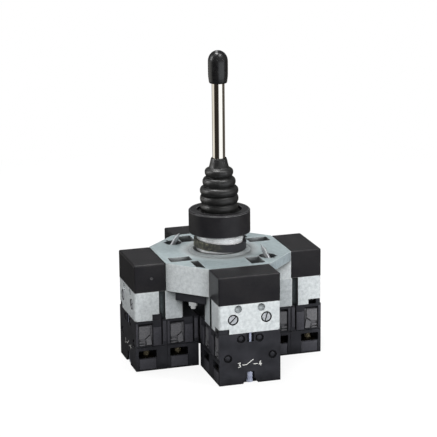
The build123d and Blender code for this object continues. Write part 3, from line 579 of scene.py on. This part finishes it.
def placePiece(obj, turns, move):
    # turns about the world's axes in order, then moves, then settles
    pick(obj)
    for angle, axis in turns:
        # the operator turns clockwise for a positive value, so the sign is changed
        bpy.ops.transform.rotate(value=-math.radians(angle), orient_axis=axis, center_override=(0, 0, 0))
    bpy.ops.transform.translate(value=move)
    settle(obj)


# folded rubber boot in two lengths that meet in a fold
bootShape = {
    "wall": 0.7, "sides": 64, "join": 1, "tuck": ((7.4, 78.5), (7.35, 79.0)), "rooted": 71, "held": 88.5,
    "rings": ((9.0, 72.2), (9.1, 76.1), (9.1, 80.2), (7.85, 84.4), (6.75, 89.0)),
    "valleys": ((7.95, 74.15), (8.0, 78.15), (6.9, 82.3), (5.5, 86.7)),
    "foldSteps": (-62, -36, -12, 12, 36, 62), "lowest": (8.15, 70.5),
    "foot": ((11.6, 69.75), (9.4, 69.85), (8.35, 70.2)),
    "neck": ((5.0, 90.75), (4.62, 91.3), (4.25, 92.9), (3.85, 94.7), (3.62, 95.45), (3.45, 95.58))}


def foldRings(shape):
    # each fold is a half ellipse from the valley below it to the valley above it
    folds = []
    ends = [shape["lowest"], *shape["valleys"], shape["neck"][0]]
    for (r, z), low, high in zip(shape["rings"], ends, ends[1:]):
        fold = [low]
        for step in shape["foldSteps"]:
            a = math.radians(step)
            end = low if step < 0 else high
            fold.append((end[0] + (r - end[0]) * math.cos(a), z + abs(end[1] - z) * math.sin(a)))
        folds.append(fold)
    return folds


folds = foldRings(bootShape)
join = bootShape["join"]
lowerRings = [*bootShape["foot"]]
for fold in folds[:join + 1]:
    lowerRings += fold
lowerRings += [bootShape["valleys"][join], *bootShape["tuck"]]
upperRings = []
for fold in folds[join + 1:]:
    upperRings += fold
upperRings += bootShape["neck"]
bootPieces = []
for name, rings in (("bootLower", lowerRings), ("bootUpper", upperRings)):
    growRings(rings, bootShape["sides"])
    piece = startPiece(name, bootRubber)
    turnOutwards(fillEnds=False)
    wall = piece.modifiers.new("wall", "SOLIDIFY")
    wall.thickness = bootShape["wall"] * mm
    wall.offset = -1
    soft = piece.modifiers.new("soft", "SUBSURF")
    soft.levels = soft.render_levels = 1
    applyAll(piece)
    settle(piece)
    bpy.ops.object.shade_smooth()
    bootPieces.append(piece)
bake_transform(bootPieces[0])
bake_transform(bootPieces[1])
for piece in bootPieces:
    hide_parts("boot")
print("boot made")

# knob: blunter at the top and straighter in the side than the CAD's, on the same rod
# its dome is a quarter ellipse, given by its width, the height that it starts at and its own height
knobShape = {"sides": 64, "bore": ((0.4, 138.03), (3.02, 138.03), (3.02, 130.85)),
             "foot": ((3.75, 130.85), (3.97, 130.91), (4.12, 131.06), (4.2, 131.3)),
             "side": ((4.3, 131.95), (4.43, 132.9), (4.55, 133.9), (4.6, 135.2), (4.62, 137.0),
                      (4.62, 139.2)),
             "dome": (4.62, 141.05, 5.0), "domeSteps": (0, 10, 20, 30, 39, 48, 56, 64, 71, 77, 82, 86),
             "smooth": 35}
knobRings = [*knobShape["bore"], *knobShape["foot"], *knobShape["side"]]
width, baseZ, height = knobShape["dome"]
for step in knobShape["domeSteps"]:
    a = math.radians(step)
    knobRings.append((width * math.cos(a), baseZ + height * math.sin(a)))
growRings(knobRings, knobShape["sides"])
knob = startPiece("knobGrip", knobPlastic)
turnOutwards(fillEnds=True)
settle(knob)
bpy.ops.object.shade_smooth_by_angle(angle=math.radians(knobShape["smooth"]))
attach(knob, "stick")
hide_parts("knob")
print("knob made")


# domed rivets in the label faces, at (across, height)
rivet = {"r": 1.42, "rise": 0.82, "floor": 44.62, "flat": 0.02, "below": -0.001, "segments": 28, "rings": 14,
         "smooth": 50, "spots": ((-4.2, 21.5), (4.6, 21.4), (-10.5, 12.7), (10.8, 12.7))}
clearSelection()
bpy.ops.mesh.primitive_uv_sphere_add(
    segments=rivet["segments"], ring_count=rivet["rings"], radius=rivet["r"] * mm)
firstRivet = startPiece("rivet", blockPlastic)
firstRivet.scale = (1, 1, rivet["rise"] / rivet["r"])
settle(firstRivet)
# the lower half is pressed flat
bpy.ops.object.mode_set(mode="EDIT")
bpy.ops.mesh.select_all(action="DESELECT")
shape = bmesh.from_edit_mesh(firstRivet.data)
for vertex in shape.verts:
    vertex.select = vertex.co.z < rivet["below"] * mm
shape.select_flush(True)
bmesh.update_edit_mesh(firstRivet.data)
bpy.ops.transform.resize(value=(1, 1, rivet["flat"]), center_override=(0, 0, 0))
bpy.ops.object.mode_set(mode="OBJECT")
bpy.ops.object.shade_smooth_by_angle(angle=math.radians(rivet["smooth"]))
for arm, degrees in armAngles.items():
    out = outward(degrees)
    across = outward(degrees + 90)
    for i, (v, z) in enumerate(rivet["spots"]):
        piece = copyPiece(firstRivet, f"rivet_{arm}_{i + 1}")
        spot = out * rivet["floor"] + across * v + Vector((0, 0, z))
        placePiece(piece, ((90, "Y"), (degrees, "Z")), spot * mm)
        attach(piece, "base")
deletePiece(firstRivet)
print("rivets made")


# moulded relief on the blocks' sides: foot panels, posts and narrow bars
# spans in millimetres: along the arm from where the block starts, height, across the arm
blockSide = {"starts": (("outer", 30.4), ("inner", 15.2)), "bevel": 0.12, "bevelSteps": 2, "smooth": 40,
             "feet": (((5.35, 13.45), (0.65, 5.75), (14.1, 14.52)),),
             "posts": (((2.8, 6.6), (11.95, 20.9), (14.4, 14.85)), ((0.35, 2.0), (13.6, 23.4), (14.4, 14.78)),
                       ((13.8, 14.95), (12.4, 23.2), (14.4, 14.72)))}


def makePlates(name, finish, boxes):
    # upright boxes with softened edges, joined as one piece
    clearSelection()
    plates = []
    for spans in boxes:
        centre = [(low + high) / 2 * mm for low, high in spans]
        bpy.ops.mesh.primitive_cube_add(size=1, location=centre)
        plate = bpy.context.object
        plate.scale = [(high - low) * mm for low, high in spans]
        plates.append(plate)
    for plate in plates:
        plate.select_set(True)
    bpy.context.view_layer.objects.active = plates[0]
    if len(plates) > 1:
        bpy.ops.object.join()
    piece = settle(startPiece(name, finish))
    edge = piece.modifiers.new("edge", "BEVEL")
    edge.width = blockSide["bevel"] * mm
    edge.segments = blockSide["bevelSteps"]
    applyAll(piece)
    bpy.ops.object.shade_smooth_by_angle(angle=math.radians(blockSide["smooth"]))
    return piece


def sideBoxes(kind, start, mirror):
    # the boxes of one kind on one side of the block, as spans of x, y and z
    boxes = []
    for along, height, across in blockSide[kind]:
        nearSide, farSide = sorted((mirror * across[0], mirror * across[1]))
        boxes.append(((start + along[0], start + along[1]), (nearSide, farSide), height))
    return boxes


for kind, slot in (("feet", "cover_plastic"), ("posts", "block_plastic")):
    for row, start in blockSide["starts"]:
        for mirror, hand in ((1, "ccw"), (-1, "cw")):
            first = makePlates(kind, reliefPlastic, sideBoxes(kind, start, mirror))
            for arm, degrees in armAngles.items():
                piece = copyPiece(first, f"{kind}_{arm}_{row}_{hand}")
                placePiece(piece, ((degrees, "Z"),), (0, 0, 0))
                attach(piece, "base")
            deletePiece(first)
print("block relief made")


# pointed clamping screws, tip at the top, leaning in their wells; threaded but for a plain length at each end
clamp = {"r": 1.18, "core": 1.05, "point": 0.12, "cone": 3.0, "length": 14.0, "pitch": 0.6, "crest": 0.08,
         "plain": 0.5, "tail": (0.05, 0.02), "lean": 31.0, "tipR": 21.6, "tipZ": 56.5,
         "sides": 32, "smooth": 40, "corners": (("clampScrewRight", -45), ("clampScrewLeft", 135))}
rings = [(clamp["point"] / 2, 0.0), (clamp["point"], -clamp["point"] / 2)]
depth = clamp["plain"]
while depth < clamp["length"] - clamp["plain"]:
    half = clamp["pitch"] / 2
    crest = clamp["r"] * min(1, depth / clamp["cone"])
    root = clamp["core"] * min(1, (depth + half) / clamp["cone"])
    rings += [(crest, -depth), (crest, -depth - clamp["crest"]), (root, -depth - half)]
    depth += clamp["pitch"]
tailRise, tailR = clamp["tail"]
rings += [(clamp["core"], -clamp["length"] + tailRise), (tailR, -clamp["length"])]
growRings(rings, clamp["sides"])
firstScrew = startPiece("clampScrew", screwSteel)
turnOutwards(fillEnds=True)
settle(firstScrew)
bpy.ops.object.shade_smooth_by_angle(angle=math.radians(clamp["smooth"]))
for name, corner in clamp["corners"]:
    piece = copyPiece(firstScrew, name)
    tip = outward(corner) * clamp["tipR"] + Vector((0, 0, clamp["tipZ"]))
    placePiece(piece, ((-clamp["lean"], "Y"), (corner, "Z")), tip * mm)
    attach(piece, "base")
    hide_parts("clamp_screws")
deletePiece(firstScrew)
print("clamping screws made")


# studio: pale floor and soft light from all round, strongest from the right; distances in metres
# what gloss sees is painted by direction: "around" on the floor, "above" in the room over it
studio = {"floor": 6.0, "drop": 0.0002, "paint": 0.95, "bounce": 0.22, "shade": 0.86, "fade": (0.16, 0.42),
          "ambient": 0.13, "near": (0.27, 0.33), "dim": 0.05,
          "around": ((-180, (0.03, 0.026, 0.022)), (-104, (0.03, 0.026, 0.022)), (-94, (1.2, 1.25, 1.3)),
                     (-36, (1.2, 1.25, 1.3)), (-27, (0.08, 0.07, 0.06)), (38, (0.10, 0.09, 0.075)),
                     (58, (0.28, 0.27, 0.25)), (70, (0.15, 0.14, 0.13)), (112, (0.12, 0.11, 0.10)),
                     (126, (0.85, 0.84, 0.78)), (172, (0.85, 0.84, 0.78)), (179, (0.05, 0.045, 0.04))),
          "above": ((-180, (0.12, 0.12, 0.12)), (-120, (0.12, 0.12, 0.12)), (-90, (0.34, 0.34, 0.34)),
                    (-30, (0.34, 0.34, 0.34)), (0, (0.10, 0.10, 0.10)), (60, (0.14, 0.14, 0.14)),
                    (100, (0.06, 0.06, 0.06)), (150, (0.30, 0.30, 0.30))),
          "aimAt": (0, 0, 0.06),
          "lamps": (("keyLight", (0.85, -0.75, 0.46), (0.40, 0.50), 15.5, "matte"),
                    ("frontLight", (-0.55, -0.98, 0.46), (0.50, 0.50), 13.8, "matte"),
                    ("backFill", (0.10, 1.10, 0.42), (0.60, 0.50), 7.0, "matte"),
                    ("topLight", (-0.12, 0.08, 0.85), (0.26, 0.26), 3.2, "both"),
                    ("highBackLight", (0.12, 0.68, 0.76), (0.16, 0.14), 1.1, "both"),
                    ("leftSheen", (-1.00, 0.25, 0.50), (0.50, 0.60), 3.6, "gloss"),
                    ("edgeSheen", (0.26, -0.30, 0.90), (0.30, 0.30), 2.0, "gloss"))}


def paintFloor(tree):
    # the camera sees it with a faint shadow, fading to white, the object gets little light from it,
    # and gloss sees the bands
    tree.nodes.clear()
    seen = tree.nodes.new("ShaderNodeLightPath")
    spot = addPlace(tree)
    reach = addVector(tree, "LENGTH", spot, output="Value")
    paint = tree.nodes.new("ShaderNodeBsdfDiffuse")
    bounce, bright = (studio["bounce"],) * 3, (studio["paint"],) * 3
    tree.links.new(addMix(tree, seen.outputs["Is Camera Ray"], bounce, bright), paint.inputs["Color"])
    glow = tree.nodes.new("ShaderNodeEmission")
    glow.inputs["Color"].default_value = (1, 1, 1, 1)
    fade = addRange(tree, reach, studio["shade"], 1, *studio["fade"])
    matte = tree.nodes.new("ShaderNodeMixShader")
    tree.links.new(addMath(tree, "MULTIPLY", seen.outputs["Is Camera Ray"], fade), matte.inputs["Fac"])
    tree.links.new(paint.outputs["BSDF"], matte.inputs[1])
    tree.links.new(glow.outputs["Emission"], matte.inputs[2])
    mirrored = tree.nodes.new("ShaderNodeEmission")
    isFar = addRange(tree, reach, 0, 1, *studio["near"])
    bands = addMix(tree, isFar, (studio["dim"],) * 3, addAround(tree, spot, studio["around"]))
    tree.links.new(bands, mirrored.inputs["Color"])
    whole = tree.nodes.new("ShaderNodeMixShader")
    tree.links.new(seen.outputs["Is Glossy Ray"], whole.inputs["Fac"])
    tree.links.new(matte.outputs["Shader"], whole.inputs[1])
    tree.links.new(mirrored.outputs["Emission"], whole.inputs[2])
    tree.links.new(whole.outputs["Shader"], tree.nodes.new("ShaderNodeOutputMaterial").inputs["Surface"])


def paintRoom(tree):
    # white for the camera, dim for the object, and tones by direction for gloss
    tree.nodes.clear()
    seen = tree.nodes.new("ShaderNodeLightPath")
    room = tree.nodes.new("ShaderNodeBackground")
    direction = tree.nodes.new("ShaderNodeTexCoord").outputs["Generated"]
    around = addAround(tree, direction, studio["above"])
    dim = addMix(tree, seen.outputs["Is Glossy Ray"], (studio["ambient"],) * 3, around)
    tree.links.new(addMix(tree, seen.outputs["Is Camera Ray"], dim, (1, 1, 1)), room.inputs["Color"])
    tree.links.new(room.outputs["Background"], tree.nodes.new("ShaderNodeOutputWorld").inputs["Surface"])


def addSoftLight(name, place, size, power, shows):
    # low lamps light matte surfaces only, because in gloss they would blot out the caps' tops
    # sheens show in gloss only
    data = bpy.data.lights.new(name, "AREA")
    data.shape = "RECTANGLE"
    data.size, data.size_y = size
    data.energy = power
    lamp = bpy.data.objects.new(name, data)
    scene.collection.objects.link(lamp)
    lamp.location = place
    lamp.visible_glossy = shows != "matte"
    lamp.visible_diffuse = shows != "gloss"
    lamp.rotation_euler = (Vector(studio["aimAt"]) - Vector(place)).to_track_quat("-Z", "Y").to_euler()


clearSelection()
bpy.ops.mesh.primitive_plane_add(size=studio["floor"], location=(0, 0, -studio["drop"]))
floor = bpy.context.object
floor.name = "floor"
floorPaint = bpy.data.materials.new("floorPaint")
floorPaint.use_nodes = True
paintFloor(floorPaint.node_tree)
floor.data.materials.append(floorPaint)
for lampValues in studio["lamps"]:
    addSoftLight(*lampValues)
world = bpy.data.worlds.new("studioWorld")
scene.world = world
world.use_nodes = True
paintRoom(world.node_tree)
print("studio set")
